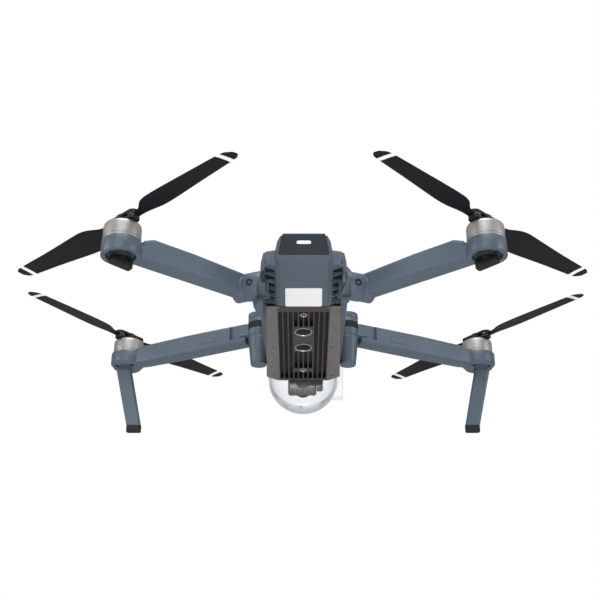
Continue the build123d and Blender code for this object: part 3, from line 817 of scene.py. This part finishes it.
@dataclass
class Bells(Builder):
    """The turned rotor bells, in place of their plain CAD nodes."""

    shaft: float = 1.4

    def build(self) -> None:
        """Builds a hollow bell on every rotor shaft, as wide and tall as its CAD node."""
        for joint in self.frame["joints"]:
            if not joint["child"].startswith("rotor_"):
                continue
            node = joint["child"].replace("rotor_", "bell_")
            foot = np.array(joint["pos_m"])
            rel = mesh_points(self.frame["nodes"][node].data) - foot
            high = (rel @ UP) / MM
            wide = np.linalg.norm(rel - (rel @ UP)[:, None] * UP, axis=1).max() / MM
            profile = np.array(self.profile(wide, float(high.min()), float(high.max()))) * MM
            points = turned(profile, foot, UP, np.array([1.0, 0.0, 0.0]), 96)
            obj = surface_mesh("turned_" + node, points)
            self.keep(obj, joint["child"], "motor_alloy", 30.0)
            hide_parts(node)

    def profile(self, wide: float, low: float, top: float) -> Profile:
        """Outline of a bell: out under the lid, down inside the wall, up outside it and back.

        Args:
            wide: Outer radius in mm.
            low: Height of the lower rim in mm.
            top: Height of the lid in mm.

        Returns:
            The outline, with a groove above the rim and a rounded shoulder.
        """
        return (
            (self.shaft, top - 1.4),
            (wide - 1.2, top - 1.6),
            (wide - 0.9, low),
            (wide - 0.25, low),
            (wide, low + 0.25),
            (wide, low + 1.5),
            (wide - 0.2, low + 1.6),
            (wide - 0.2, low + 1.9),
            (wide, low + 2.0),
            (wide, top - 2.6),
            (wide - 0.25, top - 1.6),
            (wide - 0.8, top - 0.8),
            (wide - 1.7, top - 0.25),
            (wide - 3.0, top),
            (self.shaft, top),
        )


@dataclass
class HullDetails(Builder):
    """Ridges, vents, sensors, screws and the plain tail bar of the hull.

    Attributes:
        keel: Y and Z where the belly starts to rise towards the tail.
        rise: Its rise for each mm towards the tail.
        ridge: X and Y of the middle of a belly ridge.
        shoulder: Place of the right shoulder screw.
        vent: Middle of the right-hand vent.
        rib_pitch: Distance between the ribs of a vent.
        rib_lean: Slant of those ribs, as a share of their length.
        sensors: Distance from the rear end of the heat sink, and radius, of each belly sensor.
        tail: Y and Z of the foot of the tail panel.
        tail_slope: Way from there to its upper edge.
        bar_at: Share of that way at which the tail bar sits.
    """

    keel: tuple[float, float] = (-45.0, 9.4)
    rise: float = 0.2467
    ridge: tuple[float, float] = (17.1, -60.5)
    shoulder: Triple = (34.6, -68.2, 10.6)
    vent: Triple = (21.7, -58.6, 17.15)
    rib_pitch: float = 6.8
    rib_lean: float = 0.22
    sensors: Pairs = ((12.3, 2.6), (37.9, 6.2), (62.5, 6.2), (100.9, 2.6))
    tail: tuple[float, float] = (-87.0, 20.0)
    tail_slope: tuple[float, float] = (-13.0, 8.5)
    bar_at: float = 0.62

    @property
    def rearwards(self) -> np.ndarray:
        """Direction of the rising belly, towards the tail."""
        return np.array([0.0, -1.0, self.rise])

    @property
    def outwards(self) -> np.ndarray:
        """Direction that the rising belly looks in."""
        return np.array([0.0, -self.rise, -1.0])

    def build(self) -> None:
        """Builds the small pieces of the hull."""
        for side in Side:
            self.belly_ridge(side)
            self.shoulder_screw(side)
            self.grille(side)
        for i, (along, radius) in enumerate(self.sensors):
            self.sensor(f"belly_sensor_{i}", along, radius)
        self.tail_bar()

    def belly_ridge(self, side: Side) -> None:
        """A long low ridge on the rising belly."""
        x, y = self.ridge
        belly = self.keel[1] + (self.keel[0] - y) * self.rise
        place = (side.sign * x, y, belly - 0.1)
        name = f"belly_ridge_{side.value}"
        self.keep(
            plaque(name, place, self.rearwards, self.outwards, (38.0, 1.5, 0.9), 0.7),
            "airframe", "shell_plastic",
        )

    def shoulder_screw(self, side: Side) -> None:
        """A socket screw on the round of a rear shoulder."""
        profile = ((2.4, -2.0), (2.4, 0.5), (2.1, 0.8), (1.3, 0.8), (1.1, 0.1))
        x, y, z = self.shoulder
        place = (side.sign * x, y, z)
        axis = (side.sign * 0.40, -0.89, -0.19)
        name = f"shoulder_screw_{side.value}"
        self.keep(lathe(name, profile, place, axis, 24), "airframe", "rubber")

    def grille(self, side: Side) -> None:
        """A dark grille on the slope and the flank beside the keel, with five painted ribs."""
        along, down = self.rearwards, self.outwards
        x, y, z = self.vent
        middle = np.array([side.sign * x, y, z])
        out = np.array([side.sign, 0.0, 0.0])
        self.keep(
            plaque(f"vent_floor_{side.value}", middle, along, down, (34.4, 6.2, 0.5), 0.8),
            "airframe", "rubber",
        )
        flank = middle - down * 3.2 + out * 2.6
        self.keep(
            plaque(f"vent_flank_{side.value}", flank, along, out, (34.4, 6.4, 0.5), 0.8),
            "airframe", "rubber",
        )
        lean = out + along * self.rib_lean
        for i in range(5):
            place = middle + along * self.rib_pitch * (i - 2) + down * 0.45
            name = f"vent_rib_{side.value}_{i}"
            self.keep(
                plaque(name, place, lean, down, (6.0, 1.0, 0.45), 0.45),
                "airframe", "shell_plastic",
            )

    def sensor(self, name: str, along: float, radius: float) -> None:
        """Sets a round sensor, a steel ring about a ridged dark face, in the belly.

        Args:
            name: Start of the names of its pieces.
            along: Distance from the rear end of the heat sink in mm.
            radius: Outer radius of its ring in mm.
        """
        x, y, z = SINK_START
        centre = (x, y + along * math.cos(SINK_TILT), z - along * math.sin(SINK_TILT))
        axis = (0.0, -math.sin(SINK_TILT), -math.cos(SINK_TILT))
        r, step = radius, 0.35
        ring = ((r - 0.9, -0.6), (r, -0.3), (r, 0.25), (r - 0.3, 0.45), (r - 0.8, 0.3),
                (r - 1.1, -0.2))
        self.keep(lathe(name + "_ring", ring, centre, axis), "airframe", "steel")
        ridges = tuple(
            (r - 1.1 - step * i, 0.15 if i % 2 else -0.1) for i in range(int((r - 1.6) / step))
        )
        face = ((r - 1.0, -0.5),) + ridges
        self.keep(lathe(name + "_mesh", face, centre, axis), "airframe", "rubber")

    def tail_bar(self) -> None:
        """A plain pale bar on the tail panel."""
        (y, z), (dy, dz) = self.tail, self.tail_slope
        place = (0.0, y + dy * self.bar_at, z + dz * self.bar_at)
        self.keep(
            plaque("tail_mark", place, (1.0, 0.0, 0.0), (0.0, -dz, dy), (9.0, 2.4, 0.25), 1.15),
            "airframe", "label_film",
        )


@dataclass
class ArmDetails(Builder):
    """Painted-shade discs, screws, slot covers and hinge bands of the arms.

    Attributes:
        front_motor: X and Y of the right front rotor shaft.
        rear_motor: X and Y of the right rear rotor shaft.
        hinge: X and Y of the right front hinge pin.
        front_screws: Place of each front mount screw from the shaft, outwards and forwards.
        rear_screws: The same for the rear mounts.
        front_mount: Height of the face under a front motor.
        rear_mount: Height of the face under a rear motor.
        slot_at: Distance of the slot cover from the hinge pin, out from the arm's middle and up.
        knuckle_middle: Height of the middle of a front arm's knuckle.
        hinge_band: Profile of the band round that knuckle.
    """

    front_motor: tuple[float, float] = (138.5, 112.5)
    rear_motor: tuple[float, float] = (110.0, -112.5)
    hinge: tuple[float, float] = (33.0, 60.0)
    front_screws: Pairs = ((7.4, -6.0), (-4.5, -7.5))
    rear_screws: Pairs = ((-5.2, -4.4), (5.2, -4.4), (0.0, -6.8))
    front_mount: float = 23.1
    rear_mount: float = 6.9
    slot_at: Triple = (42.0, 6.15, 30.6)
    knuckle_middle: float = 35.4
    hinge_band: Profile = ((7.8, -2.8), (8.38, -2.5), (8.38, 2.5), (7.8, 2.8))

    def build(self) -> None:
        """Builds the details of both pairs of arms."""
        for side in Side:
            self.front(side)
            self.rear(side)

    def front(self, side: Side) -> None:
        """Screws under the mount, the slot cover on the rear face and the hinge band."""
        s, body = side.sign, f"front_arm_body_{side.value}"
        x, y = self.front_motor
        screw = ((1.6, -0.4), (1.6, 0.35), (1.3, 0.5), (0.8, 0.5), (0.7, 0.1))
        for i, (dx, dy) in enumerate(self.front_screws):
            name = f"front_mount_screw_{side.value}_{i}"
            place = (s * (x + dx), y + dy, self.front_mount)
            self.keep(lathe(name, screw, place, (0.0, 0.0, -1.0), 20), body, "black_plastic")
        along, out, high = self.slot_at
        reach = np.array([x - self.hinge[0], y - self.hinge[1]])
        d = reach / np.linalg.norm(reach)
        rear = np.array([d[1], -d[0]])
        middle = self.hinge + d * along + rear * out
        self.keep(
            plaque(f"arm_slot_{side.value}", (s * middle[0], middle[1], high),
                   (s * d[0], d[1], 0.0), (s * rear[0], rear[1], 0.0), (16.0, 5.0, 0.35), 1.4),
            body, "shell_plastic",
        )
        place = (s * self.hinge[0], self.hinge[1], self.knuckle_middle)
        band = lathe(f"hinge_cam_{side.value}", self.hinge_band, place, (0.0, 0.0, 1.0))
        self.keep(band, body, "rubber")

    def rear(self, side: Side) -> None:
        """A black disc of painted shade in the dish of the rear mount, and its screws."""
        s, body = side.sign, f"rear_arm_body_{side.value}"
        x, y = self.rear_motor
        # a black disc that paints the shade of the dish's recess
        shade_disc = ((9.2, -0.6), (9.2, 0.0), (8.9, 0.2))
        place = (s * x, y, self.rear_mount + 0.2)
        self.keep(
            lathe(f"mount_shade_disc_{side.value}", shade_disc, place, (0.0, 0.0, -1.0)),
            body, "black_plastic",
        )
        screw = ((1.3, -0.3), (1.3, 0.4), (1.1, 0.5), (0.6, 0.5), (0.5, 0.2))
        for i, (dx, dy) in enumerate(self.rear_screws):
            name = f"rear_mount_screw_{side.value}_{i}"
            place = (s * (x + dx), y + dy, self.rear_mount)
            self.keep(lathe(name, screw, place, (0.0, 0.0, -1.0), 16), body, "black_plastic")


@dataclass
class GimbalDetails(Builder):
    """Trim of the stabilised camera.

    Attributes:
        camera: Where the pitch axis crosses the camera's middle.
        rib: Inner and outer radius of a cooling rib.
        rib_start: Place of the first rib along the pitch axis.
        rib_pitch: Distance between ribs.
    """

    camera: Triple = (0.0, 99.0, 4.0)
    rib: tuple[float, float] = (7.9, 8.35)
    rib_start: float = -8.8
    rib_pitch: float = 4.2

    def build(self) -> None:
        """Builds the lens ring, the cap of the pitch motor and the camera's cooling ribs."""
        ahead, right = (0.0, 1.0, 0.0), (1.0, 0.0, 0.0)
        ring = ((6.5, 7.6), (6.9, 8.0), (6.9, 9.0), (6.3, 9.3), (5.5, 9.25))
        self.keep(lathe("lens_ring", ring, self.camera, ahead), "camera", "black_plastic")
        cap = ((4.4, 14.4), (4.4, 14.9), (3.8, 15.3), (1.4, 15.3), (1.2, 15.0))
        self.keep(
            lathe("pitch_motor_cap", cap, self.camera, right, 32), "gimbal_roll", "motor_alloy"
        )
        inner, outer = self.rib
        for i in range(5):
            at = self.rib_start + self.rib_pitch * i
            rib = ((inner, at - 0.45), (outer, at - 0.25), (outer, at + 0.25), (inner, at + 0.45))
            self.keep(lathe(f"camera_rib_{i}", rib, self.camera, right), "camera", "gimbal_alloy")


# ---- surroundings ----------------------------------------------------------------------------
@dataclass(frozen=True)
class SoftBox:
    """A square area lamp that is aimed at the drone.

    Attributes:
        place: Its middle in metres, in the standing frame.
        size: Its side in metres.
        power: Its power in watts.
    """

    name: str
    place: Triple
    size: float
    power: float

    def build(self, aim: Triple) -> None:
        """Hangs the lamp and aims it at a point in metres."""
        data = bpy.data.lights.new(self.name, "AREA")
        data.size = self.size
        data.energy = self.power
        obj = bpy.data.objects.new(self.name, data)
        bpy.context.scene.collection.objects.link(obj)
        obj.location = self.place
        x, y, z = np.subtract(aim, self.place)
        obj.rotation_euler = (math.atan2(math.hypot(x, y), -z), 0.0, math.atan2(-x, y))


@dataclass(frozen=True)
class Stage:
    """Floor, lights, world and camera.

    Attributes:
        lens: Focal length in mm.
        eye: Place of the camera in the flight attitude, in mm.
        pitch: Angle in degrees by which it looks up in the flight attitude.
        floor_depth: How far the floor lies below the feet, in metres.
        floor_reach: Distance from the middle to the edge of the floor in metres.
        sky_span: Heights of a direction over which the sky goes from dim to bright.
        sky_strength: Strength of the sky at the two ends of that span.
        boxes: A large key above, a low fill behind, a strip on each side and one below.
        aim: Point that the lamps look at, in metres.
    """

    lens: float = 67.2
    eye: Triple = (-2.4, -710.0, -302.5)
    pitch: float = 25.1
    floor_depth: float = 0.9
    floor_reach: float = 20.0
    sky_span: tuple[float, float] = (-0.6, 0.8)
    sky_strength: tuple[float, float] = (0.06, 0.6)
    boxes: tuple[SoftBox, ...] = (
        SoftBox("key_top", (0.0, -0.8, 1.3), 0.9, 22.0),
        SoftBox("fill_back", (-0.25, -1.4, 0.05), 0.7, 6.0),
        SoftBox("strip_left", (-1.3, -0.5, 0.2), 0.4, 6.0),
        SoftBox("strip_right", (1.3, -0.5, 0.2), 0.4, 6.0),
        SoftBox("under", (0.1, -0.9, -0.8), 0.5, 6.5),
    )
    aim: Triple = (0.0, 0.0, 0.03)

    def floor(self) -> None:
        """A pale floor well below the drone, which is seen in flight."""
        edges = [-self.floor_reach, self.floor_reach]
        x, y = np.meshgrid(edges, edges)
        grid = np.stack([x, y, np.full_like(x, -self.floor_depth)], axis=-1)
        obj = surface_mesh("floor", grid, closed=False)
        shade = Shade("pale_floor")
        speckle = shade.noise(0.3, 2.0)
        shade.surface(
            Base_Color=shade.mix(speckle, linear("#f4f4f3"), linear("#eeeeed")),
            Roughness=shade.between(speckle, 0.75, 0.85),
            Emission_Color=(1.0, 1.0, 1.0, 1.0),
            Emission_Strength=0.12,
        )
        obj.data.materials.append(shade.material)

    def world(self) -> None:
        """White for the camera and behind glass; for all other light a sky, dimmer low down."""
        world = bpy.data.worlds.new("studio")
        bpy.context.scene.world = world
        world.use_nodes = True
        nodes = NodeTree(world.node_tree)
        low, high = self.sky_strength
        where = nodes.add("ShaderNodeTexCoord")
        split = nodes.add("ShaderNodeSeparateXYZ", {0: where.outputs["Generated"]})
        strength = nodes.add(
            "ShaderNodeMapRange",
            {
                "Value": split.outputs["Z"],
                "From Min": self.sky_span[0],
                "From Max": self.sky_span[1],
                "To Min": low,
                "To Max": high,
            },
        )
        sky = world.node_tree.nodes["Background"]
        nodes.feed(sky.inputs[0], (0.94, 0.96, 1.0, 1.0))
        nodes.feed(sky.inputs[1], strength.outputs[0])
        white = nodes.add("ShaderNodeBackground", {0: (1.0, 1.0, 1.0, 1.0), 1: 1.0})
        path = nodes.add("ShaderNodeLightPath")
        seen = nodes.add(
            "ShaderNodeMath",
            {0: path.outputs["Is Camera Ray"], 1: path.outputs["Is Transmission Ray"]},
            operation="MAXIMUM",
        )
        mix = nodes.add(
            "ShaderNodeMixShader", {0: seen.outputs[0], 1: sky.outputs[0], 2: white.outputs[0]}
        )
        nodes.feed(world.node_tree.nodes["World Output"].inputs[0], mix.outputs[0])

    def camera(self) -> None:
        """The camera behind and below the drone."""
        data = bpy.data.cameras.new("camera")
        data.lens = self.lens
        data.sensor_width = 36.0
        obj = bpy.data.objects.new("camera", data)
        bpy.context.scene.collection.objects.link(obj)
        obj.location = tuple(to_row(np.array(self.eye)))
        obj.rotation_euler = (math.radians(90.0 + self.pitch) + STANCE, 0.0, 0.0)
        bpy.context.scene.camera = obj

    def build(self) -> None:
        """Builds everything that isn't part of the object."""
        self.floor()
        self.world()
        for box in self.boxes:
            box.build(self.aim)
        self.camera()
        bpy.context.scene.view_settings.view_transform = "Standard"


def main() -> None:
    """Builds the visual model in order."""
    logging.basicConfig(level=logging.INFO)
    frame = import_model()
    materials = Materials()
    CadNodes(frame, materials).finish()
    for maker in (Propellers, Bells, HullDetails, ArmDetails, GimbalDetails):
        part = maker(frame, materials)
        part.build()
        LOG.info("%s made %d pieces", maker.__name__, len(part.made))
    Stage().build()


if __name__ == "__main__":
    main()
